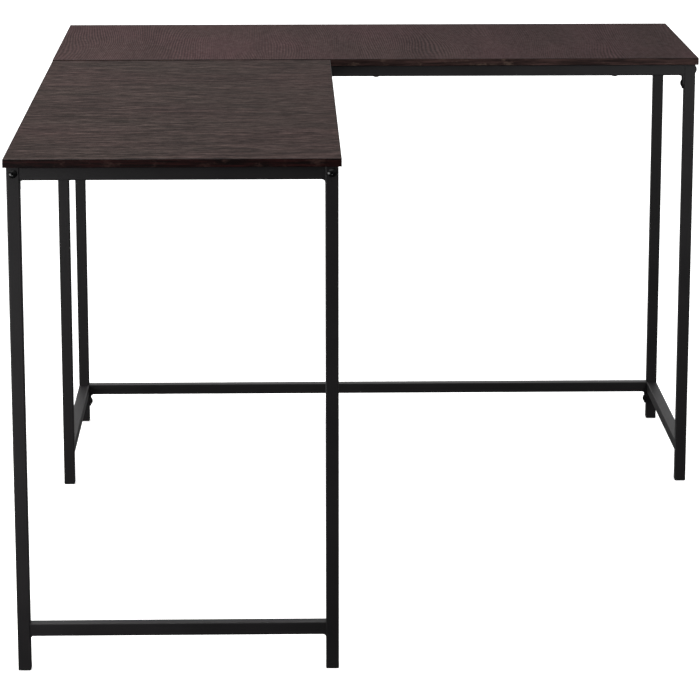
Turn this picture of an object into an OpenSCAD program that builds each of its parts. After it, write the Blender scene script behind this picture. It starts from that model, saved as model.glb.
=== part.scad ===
// Corner desk: a main desk across the back and a wing that comes forward from its left half.
// Three welded end frames of square tube stand on six plastic foot caps. Five long tubes with
// welded end plates are bolted between them, and two laminated boards are screwed on from below.
// +Z is up, the wing points to -Y, and the origin is on the floor under the middle of the desk.

/* [Overall] */
// Width of the desk along X
desk_w = 1120; // [900:1:1500]
// Height of the work surface above the floor
desk_h = 762; // [650:1:900]
// Depth of the main desk along Y
main_d = 480; // [400:1:700]
// Width of the wing along X
wing_w = 480; // [400:1:640]
// Length of the wing along Y, from the seam to its front edge
wing_l = 1020; // [700:1:1300]

/* [Tops] */
// Thickness of both boards
top_t = 12; // [10:0.5:30]
// Thickness of the edge band strips
band_t = 0.8; // [0.4:0.1:2]
// Gap at the seam between the two boards
seam_gap = 2; // [0.2:0.1:3]
// Height of the main board above the wing board at the seam
wing_step = 1.2; // [0:0.1:3]
// Distance from the edge of the boards to the outer face of the frame
inset = 4.5; // [3.6:0.1:15]

/* [Tube] */
// Outside width of the square tube
tube = 19; // [15.5:0.5:26]
// Wall thickness of the tube
wall = 1.2; // [1:0.1:1.5]
// Outside corner radius of the tube
tube_r = 1.6; // [1.2:0.1:3]
// Height of the underside of the lower rails above the floor
low_rail_h = 53; // [50:1:160]

/* [End plates] */
// Thickness of the plates welded to the ends of the long tubes
plate_t = 3; // [2:0.5:4]
// Distance from the underside of a long tube down to its plate bolt
plate_drop = 14.5; // [10:0.5:20]

/* [Fasteners] */
// Diameter of the bolts
bolt_d = 6; // [5:0.5:6]
// Diameter of the bolt heads
head_d = 12; // [10:0.5:13]
// Height of the bolt heads
head_h = 3.3; // [2.5:0.1:3.5]
// Thickness of the hexagonal nuts welded behind the end plates
hex_nut_t = 5; // [4:0.5:6]
// Distance across the flats of the hexagonal nuts
hex_nut_af = 10; // [9:0.5:11]
// Diameter of the round nuts pressed into the legs
press_nut_d = 9; // [7.5:0.1:10]
// Diameter of the wood screws
screw_d = 4; // [3.5:0.1:5]
// Diameter of the wood screw heads
screw_head_d = 11; // [8:0.5:12]
// Height of the wood screw heads
screw_head_h = 2.6; // [2:0.1:3]
// Distance that the wood screws go into the boards
screw_bite = 9; // [6:0.5:9.5]
// Distance from a frame corner to the first screw of each row
screw_end = 140; // [80:1:200]

/* [Foot caps] */
// Height of the foot caps below the legs
cap_t = 4.5; // [3:0.5:10]
// Chamfer round the bottom of the foot caps
cap_chamfer = 1.6; // [0.5:0.1:2.5]
// Length of the foot cap stems inside the legs
cap_stem = 18; // [10:1:26]
// Wall thickness of the foot cap stems
cap_wall = 1.8; // [1.2:0.1:3]

/* [Welds] */
// Size of the fillets under the rails of the end frames
frame_bead = 4; // [2:0.5:6]
// Size of the fillets under the long tubes, where they meet their end plates
plate_bead = 5; // [3:0.5:6]

/* [Hidden] */

$fn = 48;
over = 1;                 // how far a cut runs past the face it opens
bolt_clearance = 0.5;     // bolt hole minus bolt, in diameter
thread_clearance = 0.1;   // nut bore minus bolt, in diameter
screw_clearance = 0.6;    // screw hole in the tubes minus screw, in diameter
pilot_spare = 0.5;        // depth of a pilot hole past its screw
screw_point = 3;          // length of a wood screw's point
screw_tip_d = 0.6;        // diameter of a wood screw's tip
bolt_chamfer = 0.6;       // chamfer at the end of a bolt
stem_clearance = 0.15;    // gap between a foot cap stem and the inside of its leg
press_nut_gap = 0.3;      // gap between two press nuts that meet inside a leg
bolt_proud = 1;           // length of a through bolt past its nut
press_bolt_proud = 0.3;   // length of a plate bolt past its nut
recess_w = 1.3;           // width of the cross recess in a head
bead_toe = 0.3;           // thickness of a weld fillet at its edges

// Places of the board edges and the tube centres
x_left = -desk_w / 2;
x_right = desk_w / 2;
x_wing = x_left + wing_w;
y_back = (main_d + wing_l) / 2;
y_seam = y_back - main_d;
y_wing = y_seam - seam_gap;
y_front = y_seam - wing_l;
frame_top = desk_h - top_t;
half = tube / 2;
// The trimmed corners of the edge bands stay inside the strips' own thickness
band_r = 0.75 * band_t;
leg_xl = x_left + inset + half;
leg_xr = x_right - inset - half;
wing_xr = x_wing - inset - half;
leg_yb = y_back - inset - half;
leg_ys = y_seam + inset + half;
leg_yf = y_front + inset + half;
top_z = frame_top - half;
wing_top_z = top_z - wing_step;
low_z = low_rail_h + half;
plate_bolt_z = half + plate_drop;
bore = tube - 2 * wall;
bead_run = tube - 2 * tube_r;
// Two press nuts meet at right angles inside a leg, so their length is what the bore leaves them
press_nut_len = (bore - press_nut_d) / 2 - press_nut_gap;

// Where each bolt's head seats, and the angle about Z that it points along (0 is +X, 90 is +Y)
main_through = [
    [leg_xl - half, leg_ys, 0], [leg_xr + half, leg_ys, 180],
    [leg_xl - half, leg_yb, 0], [leg_xr + half, leg_yb, 180]
];
wing_through = [
    [leg_xl, leg_yf - half, 90], [wing_xr, leg_yf - half, 90],
    [wing_xr, leg_ys + half, 270]
];
main_plates = [
    [leg_xl + half + plate_t, leg_ys, 180], [leg_xr - half - plate_t, leg_ys, 0],
    [leg_xl + half + plate_t, leg_yb, 180], [leg_xr - half - plate_t, leg_yb, 0]
];
stretcher_plates = [
    [leg_xl + half + plate_t, leg_yb, 180], [leg_xr - half - plate_t, leg_yb, 0]
];
wing_plates = [
    [leg_xl, leg_yf + half + plate_t, 270], [wing_xr, leg_yf + half + plate_t, 270],
    [leg_xl, leg_ys - half - plate_t, 90]
];

// Where the rows of wood screws stand. The middle one of the main desk stays clear of the wing.
main_screw_xs = [leg_xl - half + screw_end, max(0, wing_xr + 2.5 * tube), leg_xr + half - screw_end];
wing_screw_ys = [leg_yf - half + screw_end, (leg_yf + leg_ys - tube) / 2, y_seam - screw_end];

// ---- Helpers ----

// Turns children that point along +Z so that they point along angle a in the XY plane
module aim(p, z, a) {
    translate([p[0], p[1], z]) rotate([0, 0, a]) rotate([0, 90, 0]) children();
}

module rounded_square(size, r) {
    square([size - 2 * r, size], center = true);
    square([size, size - 2 * r], center = true);
    for (x = [-1, 1], y = [-1, 1])
        translate([x * (size / 2 - r), y * (size / 2 - r)]) circle(r);
}

module tube_profile() {
    difference() {
        rounded_square(tube, tube_r);
        rounded_square(bore, max(tube_r - wall, 0.4));
    }
}

// A straight tube of length len from point p, along angle a in the XY plane
module flat_tube(p, z, a, len) {
    aim(p, z, a) linear_extrude(height = len) tube_profile();
}

// A bolt hole along the bolt at p, to a depth below its seat
module bolt_drill(p, z, depth) {
    aim(p, z, p[2]) translate([0, 0, -over]) cylinder(d = bolt_d + bolt_clearance, h = depth + over);
}

module screw_drill(x, y, z) {
    translate([x, y, z - half - over])
        cylinder(d = screw_d + screw_clearance, h = tube + 2 * over);
}

// ---- Boards ----

module board_core(x0, x1, y0, y1) {
    translate([x0 + band_t, y0 + band_t, frame_top])
        cube([x1 - x0 - 2 * band_t, y1 - y0 - 2 * band_t, top_t]);
}

module pilot_hole(x, y) {
    translate([x, y, frame_top - over])
        cylinder(d = screw_d + thread_clearance, h = screw_bite + pilot_spare + over);
}

// The section of a finished board from a to b, with its trimmed corners
module eased_section(a, b) {
    translate([a + band_r, frame_top]) square([b - a - 2 * band_r, top_t]);
    translate([a, frame_top + band_r]) square([b - a, top_t - 2 * band_r]);
    for (x = [a + band_r, b - band_r], z = [frame_top + band_r, desk_h - band_r])
        translate([x, z]) circle(band_r);
}

// The outside of a finished board, trimmed along all four edges
module eased_board(x0, x1, y0, y1) {
    intersection() {
        translate([x0, 0, 0]) rotate([90, 0, 90]) linear_extrude(height = x1 - x0) eased_section(y0, y1);
        translate([0, y1, 0]) rotate([90, 0, 0]) linear_extrude(height = y1 - y0) eased_section(x0, x1);
    }
}

// Strips glued to the edges of a board: the front and back ones run its full width, and the
// left and right ones fit between them
module long_band(x0, x1, y0, y1, back) {
    color("#2c1c1b") intersection() {
        eased_board(x0, x1, y0, y1);
        translate([x0 - over, back ? y1 - band_t : y0 - over, frame_top - over])
            cube([x1 - x0 + 2 * over, band_t + over, top_t + 2 * over]);
    }
}

module short_band(x0, x1, y0, y1, right) {
    color("#2c1c1b") intersection() {
        eased_board(x0, x1, y0, y1);
        translate([right ? x1 - band_t : x0 - over, y0 + band_t, frame_top - over])
            cube([band_t + over, y1 - y0 - 2 * band_t, top_t + 2 * over]);
    }
}

module main_top() {
    color("#4a3d3a") difference() {
        board_core(x_left, x_right, y_seam, y_back);
        for (x = main_screw_xs, y = [leg_ys, leg_yb]) pilot_hole(x, y);
    }
}

module main_top_front_edge_band() { long_band(x_left, x_right, y_seam, y_back, false); }
module main_top_back_edge_band() { long_band(x_left, x_right, y_seam, y_back, true); }
module main_top_left_edge_band() { short_band(x_left, x_right, y_seam, y_back, false); }
module main_top_right_edge_band() { short_band(x_left, x_right, y_seam, y_back, true); }

module wing_top() {
    color("#4a413f") translate([0, 0, -wing_step]) difference() {
        board_core(x_left, x_wing, y_front, y_wing);
        for (x = [leg_xl, wing_xr], y = wing_screw_ys) pilot_hole(x, y);
    }
}

module wing_top_front_edge_band() {
    translate([0, 0, -wing_step]) long_band(x_left, x_wing, y_front, y_wing, false);
}
module wing_top_back_edge_band() {
    translate([0, 0, -wing_step]) long_band(x_left, x_wing, y_front, y_wing, true);
}
module wing_top_left_edge_band() {
    translate([0, 0, -wing_step]) short_band(x_left, x_wing, y_front, y_wing, false);
}
module wing_top_right_edge_band() {
    translate([0, 0, -wing_step]) short_band(x_left, x_wing, y_front, y_wing, true);
}

// ---- End frames ----

// A leg at (x, y) whose frame has its top rail at height z, drilled by its children
module leg(x, y, z) {
    color("#1d1c1f") difference() {
        translate([x, y, cap_t]) linear_extrude(height = z + half - cap_t) tube_profile();
        children();
    }
}

// Holes in both walls, for bolts that go through a tube at height z
module through_holes(bolts, z) {
    for (b = bolts) bolt_drill(b, z, tube + over);
}

// Holes in the near wall only, for bolts that come in through the end plate of a tube at height z
module wall_holes(bolts, z) {
    for (b = bolts) bolt_drill(b, z - plate_bolt_z, plate_t + wall + press_nut_len);
}

module left_end_front_leg() {
    leg(leg_xl, leg_ys, top_z) {
        through_holes([main_through[0]], top_z);
        wall_holes([main_plates[0]], top_z);
        wall_holes([wing_plates[2]], wing_top_z);
    }
}

module left_end_rear_leg() {
    leg(leg_xl, leg_yb, top_z) {
        through_holes([main_through[2]], top_z);
        wall_holes([main_plates[2]], top_z);
        wall_holes([stretcher_plates[0]], low_z);
    }
}

module right_end_front_leg() {
    leg(leg_xr, leg_ys, top_z) {
        through_holes([main_through[1]], top_z);
        wall_holes([main_plates[1]], top_z);
    }
}

module right_end_rear_leg() {
    leg(leg_xr, leg_yb, top_z) {
        through_holes([main_through[3]], top_z);
        wall_holes([main_plates[3]], top_z);
        wall_holes([stretcher_plates[1]], low_z);
    }
}

module wing_end_left_leg() {
    leg(leg_xl, leg_yf, wing_top_z) {
        through_holes([wing_through[0]], wing_top_z);
        wall_holes([wing_plates[0]], wing_top_z);
    }
}

module wing_end_right_leg() {
    leg(wing_xr, leg_yf, wing_top_z) {
        through_holes([wing_through[1]], wing_top_z);
        wall_holes([wing_plates[1]], wing_top_z);
    }
}

// Rail of a main end frame, from its front leg to its rear leg
module side_rail(x, z) {
    color("#1d1c1f") flat_tube([x, leg_ys + half], z, 90, leg_yb - leg_ys - tube);
}

// Rail of the wing end frame, from its left leg to its right leg
module cross_rail(z) {
    color("#1d1c1f") flat_tube([leg_xl + half, leg_yf], z, 0, wing_xr - leg_xl - tube);
}

module left_end_top_rail() { side_rail(leg_xl, top_z); }
module left_end_lower_rail() { side_rail(leg_xl, low_z); }
module right_end_top_rail() { side_rail(leg_xr, top_z); }
module right_end_lower_rail() { side_rail(leg_xr, low_z); }
module wing_end_top_rail() { cross_rail(wing_top_z); }
module wing_end_lower_rail() { cross_rail(low_z); }

// ---- Welds ----

// A concave fillet under the corner at (x, y, z): it reaches size along angle a, and size down
module bead(x, y, z, a, size) {
    translate([x, y, z]) rotate([0, 0, a]) mirror([0, 0, 1]) rotate([90, 0, 0])
        linear_extrude(height = bead_run, center = true) difference() {
            square(size);
            translate([size + bead_toe, size + bead_toe]) circle(size);
        }
}

// The four fillets of an end frame: its rails run from the leg face at a, along angle dir, to b,
// and the top rail is at height z
module frame_beads(a, b, dir, z) {
    color("#1d1c1f") for (e = [[a, dir], [b, dir + 180]]) {
        bead(e[0][0], e[0][1], z - half, e[1], frame_bead);
        bead(e[0][0], e[0][1], low_z - half, e[1], frame_bead);
    }
}

module left_end_welds() { frame_beads([leg_xl, leg_ys + half], [leg_xl, leg_yb - half], 90, top_z); }
module right_end_welds() { frame_beads([leg_xr, leg_ys + half], [leg_xr, leg_yb - half], 90, top_z); }
module wing_end_welds() { frame_beads([leg_xl + half, leg_yf], [wing_xr - half, leg_yf], 0, wing_top_z); }

module main_rail_welds() {
    color("#1d1c1f") for (y = [leg_ys, leg_yb]) {
        bead(leg_xl + half + plate_t, y, top_z - half, 0, plate_bead);
        bead(leg_xr - half - plate_t, y, top_z - half, 180, plate_bead);
    }
}

module back_stretcher_welds() {
    color("#1d1c1f") for (e = [[leg_xl + half + plate_t, 0], [leg_xr - half - plate_t, 180]])
        bead(e[0], leg_yb, low_z - half, e[1], plate_bead);
}

module wing_rail_welds() {
    color("#1d1c1f") {
        for (x = [leg_xl, wing_xr]) bead(x, leg_yf + half + plate_t, wing_top_z - half, 90, plate_bead);
        bead(leg_xl, leg_ys - half - plate_t, wing_top_z - half, 270, plate_bead);
    }
}

// ---- Long tubes ----

main_rail_len = leg_xr - leg_xl - tube - 2 * plate_t;
wing_rail_len = leg_ys - leg_yf - tube - 2 * plate_t;

// A long tube of the main desk, between the plates on its ends
module main_tube(y, z) {
    flat_tube([leg_xl + half + plate_t, y], z, 0, main_rail_len);
}

module main_front_rail() {
    color("#1d1c1f") difference() {
        main_tube(leg_ys, top_z);
        for (x = main_screw_xs) screw_drill(x, leg_ys, top_z);
        through_holes([wing_through[2]], wing_top_z);
    }
}

module main_rear_rail() {
    color("#1d1c1f") difference() {
        main_tube(leg_yb, top_z);
        for (x = main_screw_xs) screw_drill(x, leg_yb, top_z);
    }
}

module back_stretcher() {
    color("#1d1c1f") main_tube(leg_yb, low_z);
}

module wing_rail(x) {
    color("#1d1c1f") difference() {
        flat_tube([x, leg_yf + half + plate_t], wing_top_z, 90, wing_rail_len);
        for (y = wing_screw_ys) screw_drill(x, y, wing_top_z);
    }
}

module wing_left_rail() { wing_rail(leg_xl); }
module wing_right_rail() { wing_rail(wing_xr); }

// ---- End plates ----

// A plate on the leg's face at (x, y), with its tube at height z running off along angle a. The
// long kind hangs below its tube, with a rounded end about its lower bolt hole.
module end_plate(x, y, z, a, upper_hole = true, long = true) {
    module outline() {
        difference() {
            union() {
                rounded_square(tube, tube_r);
                if (long) {
                    translate([-half, -plate_bolt_z]) square([tube, plate_bolt_z]);
                    translate([0, -plate_bolt_z]) circle(half);
                }
            }
            if (upper_hole) circle(d = bolt_d + bolt_clearance);
            if (long) translate([0, -plate_bolt_z]) circle(d = bolt_d + bolt_clearance);
        }
    }
    translate([x, y, z]) rotate([0, 0, a]) rotate([90, 0, 90])
        linear_extrude(height = plate_t) outline();
}

module main_end_plates(y, z, upper_hole = true) {
    color("#1d1c1f") {
        end_plate(leg_xl + half, y, z, 0, upper_hole);
        end_plate(leg_xr - half, y, z, 180, upper_hole);
    }
}

module main_front_rail_end_plates() { main_end_plates(leg_ys, top_z); }
module main_rear_rail_end_plates() { main_end_plates(leg_yb, top_z); }
module back_stretcher_end_plates() { main_end_plates(leg_yb, low_z, upper_hole = false); }

module wing_left_rail_end_plates() {
    color("#1d1c1f") {
        end_plate(leg_xl, leg_yf + half, wing_top_z, 90);
        end_plate(leg_xl, leg_ys - half, wing_top_z, 270, upper_hole = false);
    }
}

// The rear end of this tube is held by a bolt through the main front rail, so its plate is short
module wing_right_rail_end_plates() {
    color("#1d1c1f") {
        end_plate(wing_xr, leg_yf + half, wing_top_z, 90);
        end_plate(wing_xr, leg_ys - half, wing_top_z, 270, long = false);
    }
}

// ---- Fasteners ----

// Cross recess cut into a head whose top is at z = 0, pointing down
module cross_recess(d, depth) {
    intersection() {
        union() {
            cube([d, recess_w, 2 * depth], center = true);
            cube([recess_w, d, 2 * depth], center = true);
        }
        translate([0, 0, -depth]) cylinder(d1 = recess_w, d2 = 2 * d - recess_w, h = 2 * depth);
    }
}

// A domed head that sits on z = 0 and rises to -h, with a cross recess
module domed_head(d, h) {
    dome = h * 0.65;
    radius = (d * d / 4 + dome * dome) / (2 * dome);
    mirror([0, 0, 1]) difference() {
        intersection() {
            cylinder(d = d, h = h);
            translate([0, 0, h - radius]) sphere(radius);
        }
        translate([0, 0, h]) cross_recess(d / 2, dome);
    }
}

module bolt(len) {
    domed_head(head_d, head_h);
    cylinder(d = bolt_d, h = len - bolt_chamfer);
    translate([0, 0, len - bolt_chamfer])
        cylinder(d1 = bolt_d, d2 = bolt_d - 2 * bolt_chamfer, h = bolt_chamfer);
}

module through_bolts(bolts, z) {
    color("#0c0c0d") for (b = bolts)
        aim(b, z, b[2]) bolt(tube + plate_t + hex_nut_t + bolt_proud);
}

module plate_bolts(bolts, z) {
    color("#0c0c0d") for (b = bolts)
        aim(b, z - plate_bolt_z, b[2]) bolt(plate_t + wall + press_nut_len + press_bolt_proud);
}

module main_through_bolts() { through_bolts(main_through, top_z); }
module wing_through_bolts() { through_bolts(wing_through, wing_top_z); }
module main_plate_bolts() { plate_bolts(main_plates, top_z); }
module stretcher_plate_bolts() { plate_bolts(stretcher_plates, low_z); }
module wing_plate_bolts() { plate_bolts(wing_plates, wing_top_z); }

module nut_bore(len) {
    translate([0, 0, -over]) cylinder(d = bolt_d + thread_clearance, h = len + 2 * over);
}

module hex_nuts(bolts, z) {
    color("#9a9a98") for (b = bolts) aim(b, z, b[2]) translate([0, 0, tube + plate_t]) difference() {
        cylinder(d = hex_nut_af / cos(30), h = hex_nut_t, $fn = 6);
        nut_bore(hex_nut_t);
    }
}

module main_rail_hex_nuts() { hex_nuts(main_through, top_z); }
module wing_rail_hex_nuts() { hex_nuts(wing_through, wing_top_z); }

module press_nuts(bolts, z) {
    color("#9a9a98") for (b = bolts) aim(b, z - plate_bolt_z, b[2]) translate([0, 0, plate_t + wall])
        difference() {
            cylinder(d = press_nut_d, h = press_nut_len);
            nut_bore(press_nut_len);
        }
}

module left_end_press_nuts() {
    press_nuts([main_plates[0], main_plates[2]], top_z);
    press_nuts([wing_plates[2]], wing_top_z);
    press_nuts([stretcher_plates[0]], low_z);
}

module right_end_press_nuts() {
    press_nuts([main_plates[1], main_plates[3]], top_z);
    press_nuts([stretcher_plates[1]], low_z);
}

module wing_end_press_nuts() { press_nuts([wing_plates[0], wing_plates[1]], wing_top_z); }

// A wood screw that comes up through a tube at height z and ends in a point inside the board
module wood_screw(x, y, z) {
    shank = tube + screw_bite - screw_point;
    translate([x, y, z - half]) {
        domed_head(screw_head_d, screw_head_h);
        cylinder(d = screw_d, h = shank);
        translate([0, 0, shank]) cylinder(d1 = screw_d, d2 = screw_tip_d, h = screw_point);
    }
}

module main_top_screws() {
    color("#0c0c0d") for (x = main_screw_xs, y = [leg_ys, leg_yb]) wood_screw(x, y, top_z);
}

module wing_top_screws() {
    color("#0c0c0d") for (x = [leg_xl, wing_xr], y = wing_screw_ys) wood_screw(x, y, wing_top_z);
}

// ---- Foot caps ----

// A side view of the cap's foot, chamfered at its bottom corners
module cap_outline() {
    polygon([
        [-half + cap_chamfer, 0], [half - cap_chamfer, 0], [half, cap_chamfer],
        [half, cap_t], [-half, cap_t], [-half, cap_chamfer]
    ]);
}

module foot_cap(x, y) {
    stem = bore - 2 * stem_clearance;
    color("#151515") translate([x, y, 0]) {
        intersection() {
            linear_extrude(height = cap_t) rounded_square(tube, tube_r);
            rotate([90, 0, 0]) linear_extrude(height = tube, center = true) cap_outline();
            rotate([90, 0, 90]) linear_extrude(height = tube, center = true) cap_outline();
        }
        translate([0, 0, cap_t]) linear_extrude(height = cap_stem) difference() {
            square(stem, center = true);
            square(stem - 2 * cap_wall, center = true);
        }
    }
}

module left_front_foot_cap() { foot_cap(leg_xl, leg_ys); }
module left_rear_foot_cap() { foot_cap(leg_xl, leg_yb); }
module right_front_foot_cap() { foot_cap(leg_xr, leg_ys); }
module right_rear_foot_cap() { foot_cap(leg_xr, leg_yb); }
module wing_left_foot_cap() { foot_cap(leg_xl, leg_yf); }
module wing_right_foot_cap() { foot_cap(wing_xr, leg_yf); }

// ---- The assembly ----

main_top();
main_top_front_edge_band();
main_top_back_edge_band();
main_top_left_edge_band();
main_top_right_edge_band();
wing_top();
wing_top_front_edge_band();
wing_top_back_edge_band();
wing_top_left_edge_band();
wing_top_right_edge_band();
left_end_front_leg();
left_end_rear_leg();
left_end_top_rail();
left_end_lower_rail();
left_end_welds();
right_end_front_leg();
right_end_rear_leg();
right_end_top_rail();
right_end_lower_rail();
right_end_welds();
wing_end_left_leg();
wing_end_right_leg();
wing_end_top_rail();
wing_end_lower_rail();
wing_end_welds();
main_front_rail();
main_rear_rail();
back_stretcher();
wing_left_rail();
wing_right_rail();
main_front_rail_end_plates();
main_rear_rail_end_plates();
back_stretcher_end_plates();
wing_left_rail_end_plates();
wing_right_rail_end_plates();
main_rail_welds();
back_stretcher_welds();
wing_rail_welds();
main_rail_hex_nuts();
wing_rail_hex_nuts();
left_end_press_nuts();
right_end_press_nuts();
wing_end_press_nuts();
main_through_bolts();
wing_through_bolts();
main_plate_bolts();
stretcher_plate_bolts();
wing_plate_bolts();
main_top_screws();
wing_top_screws();
left_front_foot_cap();
left_rear_foot_cap();
right_front_foot_cap();
right_rear_foot_cap();
wing_left_foot_cap();
wing_right_foot_cap();
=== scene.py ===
import math

import bpy
from mathutils import Euler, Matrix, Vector

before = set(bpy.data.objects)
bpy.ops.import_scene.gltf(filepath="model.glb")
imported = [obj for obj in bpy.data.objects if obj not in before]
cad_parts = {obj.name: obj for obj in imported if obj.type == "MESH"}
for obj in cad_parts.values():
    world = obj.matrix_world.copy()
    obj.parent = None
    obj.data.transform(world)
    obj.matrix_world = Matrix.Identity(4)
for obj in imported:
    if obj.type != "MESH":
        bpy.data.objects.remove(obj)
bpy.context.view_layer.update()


# ---- Viewpoint ------------------------------------------------------------------------------
# The desk is seen from in front of the wing, at about the eye level of someone standing, with
# a long lens that keeps the far legs almost as large as the near ones.

LENS_MM = 161.4
SENSOR_MM = 36
EYE = (-0.1668, -5.1357, 1.5039)
TILT_DOWN = 0.2288
TURN_RIGHT = 0.0224
FARTHEST_SEEN = 60

camera = bpy.data.objects.new("camera", bpy.data.cameras.new("camera"))
bpy.context.scene.collection.objects.link(camera)
bpy.context.scene.camera = camera
camera.data.lens = LENS_MM
camera.data.sensor_width = SENSOR_MM
camera.data.clip_end = FARTHEST_SEEN
camera.location = EYE
camera.rotation_euler = Euler((math.pi / 2 - TILT_DOWN, 0, -TURN_RIGHT))


# ---- Main top: the board ----------------------------------------------------------------------
# A 12 mm chipboard panel faced on both sides with dark wood-grain laminate.
# The print's grain runs from front to back, and the board is held by screws from below.

MAIN_BROWN = (0.0350, 0.0190, 0.0196)
MAIN_DARK = (0.011, 0.0055, 0.0055)
MAIN_GREY = (0.0312, 0.0187, 0.0181)
BACKING_BROWN = (0.022, 0.015, 0.013)
GRAIN_FRONT_TO_BACK = 0.0
RING_SPACING = 0.0041
RING_LEAN = 0.085
RING_WANDER = 6.5
PRINT_DEPTH = 0.0003


def plug(node, inputs):
    """Sets each named input of a node, or links it if it is given as another node's output."""
    for socket, value in inputs.items():
        if isinstance(value, bpy.types.NodeSocket):
            node.id_data.links.new(value, node.inputs[socket])
        else:
            node.inputs[socket].default_value = value


def node_maker(tree):
    """A way to add a node to one shader tree in one call, with its settings and inputs."""

    def add(kind, inputs=(), **settings):
        node = tree.nodes.new("ShaderNode" + kind)
        for key, value in settings.items():
            setattr(node, key, value)
        plug(node, dict(inputs))
        return node

    return add


def new_finish(name):
    """A material with its shader, and a way to add nodes to it."""
    material = bpy.data.materials.new(name)
    material.use_nodes = True
    return material, material.node_tree.nodes["Principled BSDF"], node_maker(material.node_tree)


def stretched_noise(add, grain, across, along, detail=3.0, roughness=0.55):
    """Noise whose specks are longer along the grain: across and along are specks per metre."""
    spread = add("Mapping", {"Vector": grain, "Scale": (across, along, 1.0)})
    speckle = add("TexNoise", {
        "Vector": spread.outputs["Vector"], "Scale": 1.0, "Detail": detail, "Roughness": roughness,
    })
    return speckle.outputs["Fac"]


def spread_out(add, value, low=0.0, high=1.0, to_low=0.0, to_high=1.0):
    """A pattern stretched so that its range low to high fills the range to_low to to_high."""
    limits = {"From Min": low, "From Max": high, "To Min": to_low, "To Max": to_high}
    return add("MapRange", {"Value": value, **limits}).outputs["Result"]


def combined(add, operation, first, second, third=0.0):
    """The result of a sum or product of two patterns, or of three where the operation has three."""
    return add("Math", {0: first, 1: second, 2: third}, operation=operation).outputs[0]


def blended(add, share, *colours):
    """Two colours mixed: a share of 0 is all the first, and 1 all the second."""
    first, second = ((*colour, 1) if isinstance(colour, tuple) else colour for colour in colours)
    return add("Mix", {"Factor": share, 6: first, 7: second}, data_type="RGBA").outputs[2]


def toned(add, base, shade, strength, middle=0.5):
    """base made lighter and darker by a grey pattern, around the pattern's middle."""
    around = combined(add, "SUBTRACT", shade, middle)
    factor = combined(add, "MULTIPLY_ADD", around, strength, 1.0)
    return add("VectorMath", {0: base, "Scale": factor}, operation="SCALE").outputs["Vector"]


def facing_up(add):
    """How far the surface faces up: 1 on top, 0 on the sides, -1 below."""
    return add("SeparateXYZ", {"Vector": add("NewGeometry").outputs["Normal"]}).outputs["Z"]


def relief(add, height, strength, depth, **more):
    """Small bumps, at most depth high, where the pattern is light."""
    sockets = {"Height": height, "Strength": strength, "Distance": depth, **more}
    return add("Bump", sockets).outputs["Normal"]


def laminate(name, brown, dark, grey, turn, fibres, rings):
    """Printed wood-grain laminate above, plain backing paper below. turn is the angle of the grain."""
    material, shader, add = new_finish(name)
    place = add("TexCoord").outputs["Object"]
    grain = add("Mapping", {"Vector": place, "Rotation": (0, 0, turn)}).outputs["Vector"]

    # Growth rings: fine lines 4 mm apart that lean, and fan out where the saw cut across the log
    sideways = add("SeparateXYZ", {"Vector": grain}).outputs["X"]
    lean = stretched_noise(add, grain, 6.5, 1.6, detail=1.0)
    bent = combined(add, "MULTIPLY_ADD", lean, RING_LEAN, sideways)
    phase = combined(add, "MULTIPLY", bent, 2 * math.pi / RING_SPACING)
    wander = stretched_noise(add, grain, 45.0, 9.0, detail=3.0)
    phase = combined(add, "MULTIPLY_ADD", wander, RING_WANDER, phase)
    ring = add("Math", {0: phase}, operation="SINE").outputs[0]
    where = spread_out(add, stretched_noise(add, grain, 8.0, 3.0, detail=2.0), low=0.30, high=0.62)
    ring = combined(add, "MULTIPLY", ring, where)

    # Fibres: long streaks and short dashes along the grain, and open pores cut through them
    streak = stretched_noise(add, grain, 100.0, 11.0, detail=6.0, roughness=0.80)
    streak = spread_out(add, streak, low=0.38, high=0.62)
    dash = stretched_noise(add, grain, 150.0, 42.0, detail=6.0, roughness=0.80)
    dash = spread_out(add, dash, low=0.38, high=0.62)
    hair = stretched_noise(add, grain, 700.0, 30.0, detail=2.0)
    pore = spread_out(add, hair, low=0.58, high=0.74)
    board = stretched_noise(add, grain, 16.0, 1.5, detail=2.0)
    cloud = stretched_noise(add, grain, 7.0, 4.0, detail=3.0)

    body = blended(add, spread_out(add, cloud, low=0.36, high=0.64), brown, grey)
    body = toned(add, body, streak, strength=fibres * 1.05)
    body = toned(add, body, dash, strength=fibres * 0.85)
    body = toned(add, body, hair, strength=0.6)
    body = toned(add, body, ring, strength=rings, middle=0.0)
    body = toned(add, body, board, strength=0.6)
    body = blended(add, combined(add, "MULTIPLY", pore, 0.6), body, dark)

    below = combined(add, "LESS_THAN", facing_up(add), 0.0)
    print_height = combined(add, "MULTIPLY_ADD", pore, -0.8, dash)
    plug(shader, {
        "Base Color": blended(add, below, body, BACKING_BROWN),
        "Roughness": spread_out(add, dash, to_low=0.80, to_high=0.68),
        "Specular IOR Level": 0.03,
        "Normal": relief(add, print_height, strength=0.25, depth=PRINT_DEPTH),
    })
    return material


def give(node, material):
    """Puts one material on a CAD node."""
    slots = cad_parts[node].data.materials
    slots.clear()
    slots.append(material)


give("main_top", laminate(
    "main_laminate", MAIN_BROWN, MAIN_DARK, MAIN_GREY, GRAIN_FRONT_TO_BACK, fibres=0.22, rings=0.44,
))


# ---- Main top: the edge bands -------------------------------------------------------------------
# Strips of printed plastic edging, 0.8 mm thick, glued on with hot melt and trimmed flush.
# Their print is redder and darker than the faces, with grain along the strip. Where a strip faces
# up or down, on its trimmed corners, it is near-black: partly the plastic under the print, partly
# painted shade that darkens the seam between the wing and the main board.

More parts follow.
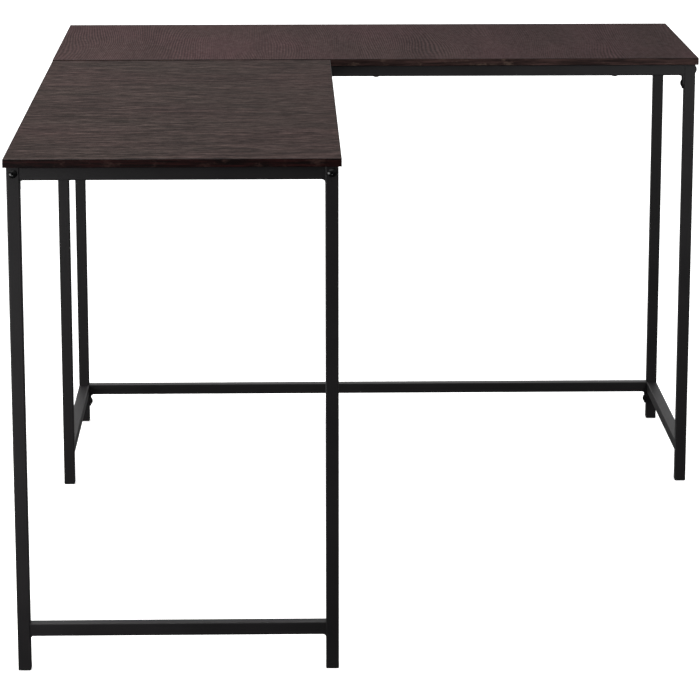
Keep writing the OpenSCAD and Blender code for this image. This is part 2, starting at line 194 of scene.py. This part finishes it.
BAND_DARK = (0.0120, 0.0060, 0.0054)
BAND_RED = (0.054, 0.029, 0.026)
BAND_GOLD = (0.080, 0.054, 0.042)
# Near-black of the plastic core, which also serves as painted shade that darkens the seam between the boards
BAND_CORE_AND_SEAM_SHADE = (0.0022, 0.0015, 0.0015)
BAND_EASE = 0.00035
BAND_PRINT_DEPTH = 0.0002
STRIP_SIDE_TO_SIDE = 0.0
STRIP_FRONT_TO_BACK = math.pi / 2


def edging(name, turn, dark, red, gold, gold_share):
    """Edge band print: streaks along the strip, with lighter blotches. turn is the strip's angle."""
    material, shader, add = new_finish(name)
    place = add("TexCoord").outputs["Object"]
    level = add("Mapping", {"Vector": place, "Rotation": (0, 0, turn)}).outputs["Vector"]
    axes = add("SeparateXYZ", {"Vector": level}).outputs
    grain = add("CombineXYZ", {"X": axes["Z"], "Y": axes["X"], "Z": axes["Y"]}).outputs["Vector"]
    streak = stretched_noise(add, grain, 320.0, 15.0, detail=5.0, roughness=0.70)
    blotch = stretched_noise(add, grain, 75.0, 30.0, detail=5.0, roughness=0.75)
    body = blended(add, spread_out(add, streak, low=0.42, high=0.66), dark, red)
    shine = spread_out(add, blotch, low=0.70 - gold_share, high=0.86 - gold_share)
    body = blended(add, shine, body, gold)
    # Near-black where the strip faces up or down: partly the plastic core, partly painted shade for the seam
    slope = add("Math", {0: facing_up(add)}, operation="ABSOLUTE").outputs[0]
    plug(shader, {
        "Base Color": blended(add, spread_out(add, slope, low=0.15, high=0.35), body, BAND_CORE_AND_SEAM_SHADE),
        "Roughness": 0.5,
        "Specular IOR Level": 0.10,
        "Normal": relief(add, streak, strength=0.15, depth=BAND_PRINT_DEPTH),
    })
    return material


def ease_edges(node, radius):
    """Rounds the sharp edges of a CAD node a little, as trimming and paint do."""
    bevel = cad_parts[node].modifiers.new("eased_edges", "BEVEL")
    bevel.width = radius
    bevel.segments = 3
    bevel.limit_method = "ANGLE"
    bevel.angle_limit = math.radians(40)


def band_board(board, front_and_back, left_and_right):
    """Gives a board's four edge bands their print, which follows each strip, and eases their edges."""
    for side, material in (
        ("front", front_and_back),
        ("back", front_and_back),
        ("left", left_and_right),
        ("right", left_and_right),
    ):
        give(f"{board}_{side}_edge_band", material)
        ease_edges(f"{board}_{side}_edge_band", BAND_EASE)


main_prints = (BAND_DARK, BAND_RED, BAND_GOLD)
band_board(
    "main_top",
    edging("edge_band_lengthwise", STRIP_SIDE_TO_SIDE, *main_prints, gold_share=0.14),
    edging("edge_band_crosswise", STRIP_FRONT_TO_BACK, *main_prints, gold_share=0.14),
)


# ---- Wing top: board and edge bands ----------------------------------------------------------------
# The same panel, cut 480 mm wide, with its grain running from side to side and a slightly
# greyer print. It butts against the front edge of the main board and sits about a millimetre
# lower, which leaves a fine seam, darkened further by painted shade on the edge band corners.

WING_BROWN = (0.0265, 0.0168, 0.0156)
WING_DARK = (0.006, 0.0035, 0.0035)
WING_GREY = (0.0238, 0.0168, 0.0150)
WING_BAND_DARK = (0.0030, 0.0010, 0.0010)
WING_BAND_RED = (0.0205, 0.0050, 0.0048)
WING_BAND_BROWN = (0.0380, 0.0200, 0.0170)
GRAIN_SIDE_TO_SIDE = math.pi / 2

give("wing_top", laminate(
    "wing_laminate", WING_BROWN, WING_DARK, WING_GREY, GRAIN_SIDE_TO_SIDE, fibres=1.15, rings=0.05,
))
wing_prints = (WING_BAND_DARK, WING_BAND_RED, WING_BAND_BROWN)
band_board(
    "wing_top",
    edging("wing_band_lengthwise", STRIP_SIDE_TO_SIDE, *wing_prints, gold_share=0.17),
    edging("wing_band_crosswise", STRIP_FRONT_TO_BACK, *wing_prints, gold_share=0.17),
)


# ---- Frame: legs, rails, plates and welds -----------------------------------------------------------
# 19 mm square steel tube, cut square, welded into three end frames and finished in black
# powder coat. The long tubes have plates welded to their ends and get the same coat.

COAT_BLACK = (0.0085, 0.0076, 0.0083)
COAT_PEEL_DEPTH = 0.0002
WELD_SCALE_DEPTH = 0.0004
WELD_SCALES_PER_METRE = 190.0
PLATE_EASE = 0.0003


def speckle(add, place, per_metre, detail):
    """An even grey pattern with about so many specks per metre."""
    noise = add("TexNoise", {"Vector": place, "Scale": per_metre, "Detail": detail})
    return noise.outputs["Fac"]


def powder_coat(name, ripple=0.0):
    """Satin black powder coat with a fine orange peel. ripple adds the scales of a weld bead."""
    material, shader, add = new_finish(name)
    place = add("TexCoord").outputs["Object"]
    peel = speckle(add, place, 900.0, detail=2.0)
    patch = speckle(add, place, 14.0, detail=3.0)
    tint = toned(add, COAT_BLACK, patch, strength=0.35)
    surface = relief(add, peel, strength=0.12, depth=COAT_PEEL_DEPTH)
    if ripple:
        waves = {"Vector": place, "Scale": WELD_SCALES_PER_METRE, "Distortion": 1.5}
        scales = add("TexWave", waves, bands_direction="DIAGONAL").outputs["Fac"]
        surface = relief(add, scales, strength=ripple, depth=WELD_SCALE_DEPTH, Normal=surface)
    plug(shader, {
        "Base Color": toned(add, tint, peel, strength=0.30),
        "Roughness": spread_out(add, patch, to_low=0.42, to_high=0.56),
        "Specular IOR Level": 0.30,
        "Normal": surface,
    })
    return material


tube_coat = powder_coat("black_powder_coat")
weld_coat = powder_coat("black_powder_coat_on_weld", ripple=0.35)
for end in ("left_end", "right_end"):
    for piece in ("front_leg", "rear_leg", "top_rail", "lower_rail"):
        give(f"{end}_{piece}", tube_coat)
for piece in ("left_leg", "right_leg", "top_rail", "lower_rail"):
    give(f"wing_end_{piece}", tube_coat)
for tube in ("main_front_rail", "main_rear_rail", "back_stretcher", "wing_left_rail", "wing_right_rail"):
    give(tube, tube_coat)
    give(f"{tube}_end_plates", tube_coat)
    ease_edges(f"{tube}_end_plates", PLATE_EASE)
for welds in ("left_end", "right_end", "wing_end", "main_rail", "back_stretcher", "wing_rail"):
    give(f"{welds}_welds", weld_coat)


# ---- Bolts and screws -------------------------------------------------------------------------------
# M6 machine screws with domed cross-recess heads, and wood screws of the same look,
# all in glossy black electro-coat.

BOLT_BLACK = (0.0022, 0.0022, 0.0024)
TURNING_MARK_DEPTH = 0.0002


def black_lacquer(name):
    """Glossy black coat on small turned steel, with faint turning marks."""
    material, shader, add = new_finish(name)
    mark = speckle(add, add("TexCoord").outputs["Object"], 420.0, detail=3.0)
    plug(shader, {
        "Base Color": toned(add, BOLT_BLACK, mark, strength=0.4),
        "Roughness": spread_out(add, mark, to_low=0.12, to_high=0.22),
        "Specular IOR Level": 0.30,
        "Normal": relief(add, mark, strength=0.06, depth=TURNING_MARK_DEPTH),
    })
    return material


bolt_finish = black_lacquer("black_bolt_coat")
for bolts in (
    "main_through_bolts",
    "wing_through_bolts",
    "main_plate_bolts",
    "stretcher_plate_bolts",
    "wing_plate_bolts",
    "main_top_screws",
    "wing_top_screws",
):
    give(bolts, bolt_finish)


# ---- Nuts -------------------------------------------------------------------------------------------
# Hexagonal nuts welded behind the end plates and round nuts pressed into the legs,
# of bright zinc-plated steel. They only show with the tubes taken apart.

ZINC_GREY = (0.50, 0.51, 0.53)


def zinc_plate(name):
    """Bright zinc: slightly mottled metal."""
    material, shader, add = new_finish(name)
    mottle = speckle(add, add("TexCoord").outputs["Object"], 600.0, detail=4.0)
    plug(shader, {
        "Base Color": toned(add, ZINC_GREY, mottle, strength=0.3),
        "Roughness": spread_out(add, mottle, to_low=0.22, to_high=0.42),
        "Metallic": 1.0,
    })
    return material


zinc = zinc_plate("bright_zinc")
for nuts in ("main_rail_hex", "wing_rail_hex", "left_end_press", "right_end_press", "wing_end_press"):
    give(f"{nuts}_nuts", zinc)


# ---- Foot caps ----------------------------------------------------------------------------------------
# Black moulded plastic caps with a hollow stem, pushed into the open ends of the legs.
# They have the fine spark texture of their mould.

CAP_BLACK = (0.0080, 0.0076, 0.0080)
CAP_EASE = 0.0003
SPARK_DEPTH = 0.0001


def moulded_plastic(name):
    """Black plastic with a fine moulded texture."""
    material, shader, add = new_finish(name)
    spark = speckle(add, add("TexCoord").outputs["Object"], 2600.0, detail=2.0)
    plug(shader, {
        "Base Color": toned(add, CAP_BLACK, spark, strength=0.3),
        "Roughness": spread_out(add, spark, to_low=0.45, to_high=0.62),
        "Specular IOR Level": 0.25,
        "Normal": relief(add, spark, strength=0.15, depth=SPARK_DEPTH),
    })
    return material


cap_plastic = moulded_plastic("foot_cap_plastic")
for leg in ("left_front", "left_rear", "right_front", "right_rear", "wing_left", "wing_right"):
    give(f"{leg}_foot_cap", cap_plastic)
    ease_edges(f"{leg}_foot_cap", CAP_EASE)


# ---- Studio ---------------------------------------------------------------------------------------------
# A white floor that throws hardly any light back, under a wide ceiling diffuser. A long strip
# light hangs over the left end, with one softbox low on the left and one on the right.
# The backdrop is white to the eye, but lights the desk dimly: most from behind and above.

FLOOR_REACH = 30
FLOOR_WHITE = (0.92, 0.92, 0.92)
FLOOR_GLOW = 0.56
WHITE = (1, 1, 1, 1)

floor_corners = [(-1, -1), (1, -1), (1, 1), (-1, 1)]
floor = bpy.data.objects.new("floor", bpy.data.meshes.new("floor"))
floor.data.from_pydata([(x * FLOOR_REACH, y * FLOOR_REACH, 0) for x, y in floor_corners], [], [(0, 1, 2, 3)])
bpy.context.scene.collection.objects.link(floor)
floor_white, floor_shader, add = new_finish("floor_white")
scuff = add("TexNoise", {"Vector": add("TexCoord").outputs["Object"], "Scale": 3.0}).outputs["Fac"]
plug(floor_shader, {
    "Base Color": toned(add, FLOOR_WHITE, scuff, strength=0.01),
    "Roughness": 0.9,
    "Specular IOR Level": 0.1,
    "Emission Color": WHITE,
    "Emission Strength": FLOOR_GLOW,
})
floor.data.materials.append(floor_white)
floor.visible_diffuse = False
floor.visible_glossy = False


def softbox(name, place, target, size, watts):
    """A square area light at place, facing target."""
    lamp = bpy.data.lights.new(name, "AREA")
    lamp.shape = "SQUARE"
    lamp.size = size
    lamp.energy = watts
    box = bpy.data.objects.new(name, lamp)
    box.location = place
    box.rotation_euler = (Vector(target) - Vector(place)).to_track_quat("-Z", "Y").to_euler()
    box.visible_camera = False
    bpy.context.scene.collection.objects.link(box)
    return lamp


diffuser = bpy.data.lights.new("ceiling_diffuser", "SUN")
diffuser.energy = 1.9
diffuser.angle = math.radians(100)
ceiling = bpy.data.objects.new("ceiling_diffuser", diffuser)
ceiling.rotation_euler = Euler((math.radians(3), math.radians(-14), 0))
bpy.context.scene.collection.objects.link(ceiling)
strip = softbox("overhead_strip", (-0.6, -0.1, 2.5), (-0.6, -0.1, 0), size=1.0, watts=10.5)
strip.shape = "RECTANGLE"
strip.size_y = 2.4
strip.spread = math.radians(58)
softbox("left_softbox", (-1.3, -1.5, 0.40), (-0.5, -0.7, 0.32), size=0.7, watts=13.5)
softbox("right_softbox", (1.1, -0.9, 1.15), (0.25, 0.27, 0.70), size=0.5, watts=13)

world = bpy.data.worlds.new("backdrop")
bpy.context.scene.world = world
world.use_nodes = True
add = node_maker(world.node_tree)
direction = add("SeparateXYZ", {"Vector": add("TexCoord").outputs["Generated"]}).outputs
behind = spread_out(add, direction["Y"], low=-0.6, high=0.9, to_low=0.22, to_high=0.90)
raised = spread_out(add, direction["Z"], low=-0.05, high=0.35, to_low=0.18, to_high=1.05)
glow = combined(add, "MULTIPLY", behind, raised)
seen = add("LightPath").outputs["Is Camera Ray"]
backdrop = world.node_tree.nodes["Background"]
plug(backdrop, {"Color": WHITE, "Strength": spread_out(add, seen, to_low=glow)})
bpy.context.scene.view_settings.view_transform = "Standard"
